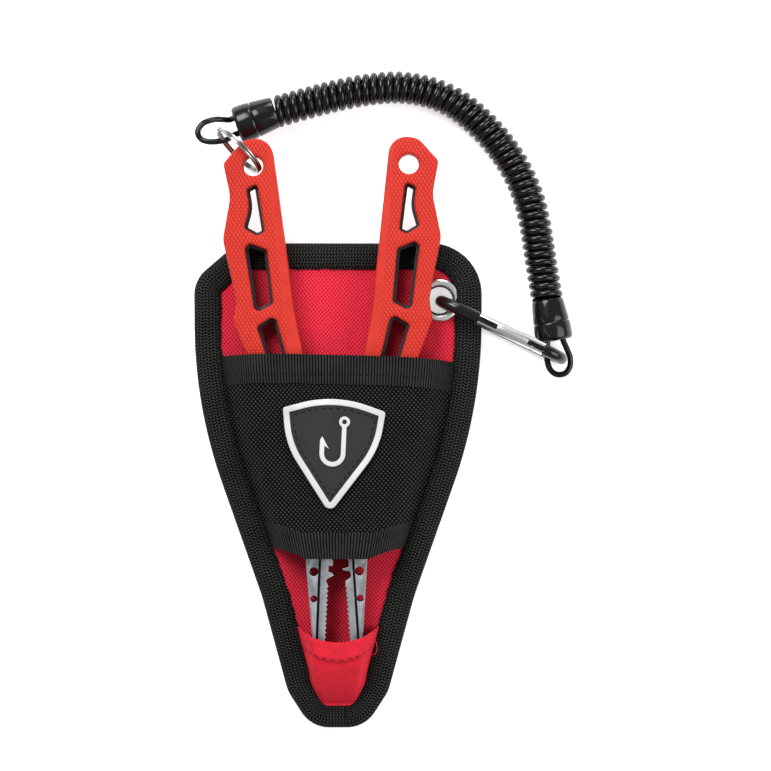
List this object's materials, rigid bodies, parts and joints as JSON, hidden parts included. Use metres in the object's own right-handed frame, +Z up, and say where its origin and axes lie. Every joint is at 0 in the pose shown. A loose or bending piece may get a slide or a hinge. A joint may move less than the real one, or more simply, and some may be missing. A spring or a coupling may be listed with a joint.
{
  "type": "fishing pliers",
  "caption": "Long-nosed fishing pliers with slotted grips, stowed in a padded belt sheath and tied to it by a coiled lanyard with a split ring and carabiner.",
  "frame": {"origin": "on the surface it lies on, under the middle of the sheath and pliers' box, lanyard left out", "axes": "+Z up from the floor through the sheath's front, +Y along the pliers towards the handle ends, +X to the right seen from the front"},
  "size_m": [0.1369, 0.2371, 0.0263],
  "materials": {
    "nylon_black": "ballistic nylon weave",
    "foam": "closed-cell foam",
    "lining_red": "woven nylon",
    "binding_tape": "herringbone tape",
    "grosgrain": "ribbed tape",
    "webbing": "webbing",
    "rubber_dark": "matt moulded",
    "rubber_white": "matt moulded",
    "eyelet_metal": "polished",
    "jaw_steel": "bead blasted",
    "dark_steel": "black oxide",
    "cutter_steel": "ground",
    "washer_brass": "plain",
    "grip_red": "textured",
    "cord_black": "gloss",
    "cap_black": "gloss",
    "ring_steel": "polished",
    "clip_black": "gloss anodised",
    "gate_alu": "satin"
  },
  "bodies": {
    "sheath": {"back_shell": "nylon_black", "foam_core": "foam", "lining": "lining_red", "edge_binding": "binding_tape", "pocket_panel": "nylon_black", "pocket_top_hem": "grosgrain", "pocket_bottom_hem": "grosgrain", "toe_pocket": "lining_red", "toe_pocket_hem": "lining_red", "badge_base": "rubber_dark", "badge_border": "rubber_white", "badge_emblem": "rubber_white", "eyelet": "eyelet_metal", "eyelet_washer": "eyelet_metal", "belt_loop": "webbing"},
    "left_half": {"left_handle_frame": "jaw_steel", "left_handle_grip": "grip_red", "right_jaw_insert": "jaw_steel", "right_jaw_screws": "dark_steel", "right_cutter": "cutter_steel", "pivot_bolt": "dark_steel", "pivot_nut": "dark_steel", "pivot_washer": "washer_brass", "return_spring": "cutter_steel", "coil_cord": "cord_black", "pliers_end_cap": "cap_black", "pliers_end_plug": "cap_black", "pliers_end_loop": "cord_black"},
    "right_half": {"right_handle_frame": "jaw_steel", "right_handle_grip": "grip_red", "left_jaw_insert": "jaw_steel", "left_jaw_screws": "dark_steel", "left_cutter": "cutter_steel"},
    "split_ring": {"split_ring": "ring_steel"},
    "carabiner": {"carabiner_body": "clip_black", "clip_end_cap": "cap_black", "clip_end_plug": "cap_black", "clip_end_loop": "cord_black"},
    "gate": {"carabiner_gate": "gate_alu", "gate_pin": "ring_steel", "gate_spring": "cutter_steel"}
  },
  "joints": [
    {"name": "pliers_draw", "type": "slide", "parent": "sheath", "child": "left_half", "axis": [0, 1, 0], "range_m": [0, 0.12], "deforming": ["coil_cord"]},
    {"name": "jaw_pivot", "type": "hinge", "parent": "left_half", "child": "right_half", "pos_m": [-0.0009, -0.0088, 0.0161], "axis": [0, 0, 1], "range_deg": [0, 6.9], "stiffness_Nm_per_rad": 0.06, "springref_deg": -20.05, "deforming": ["return_spring"]},
    {"name": "ring_turn", "type": "hinge", "parent": "left_half", "child": "split_ring", "pos_m": [-0.0355, 0.1016, 0.0155], "axis": [-0.689, -0.7036, 0.1736], "continuous": true},
    {"name": "carabiner_swing", "type": "hinge", "parent": "sheath", "child": "carabiner", "pos_m": [0.037, 0.0476, 0.0108], "axis": [0, 0, 1], "range_deg": [-6, 6]},
    {"name": "gate_pivot", "type": "hinge", "parent": "carabiner", "child": "gate", "pos_m": [0.06988, 0.03199, 0.0194], "axis": [-0.4289, -0.9033, 0], "range_deg": [0, 16], "stiffness_Nm_per_rad": 0.02, "springref_deg": -20.05}
  ]
}
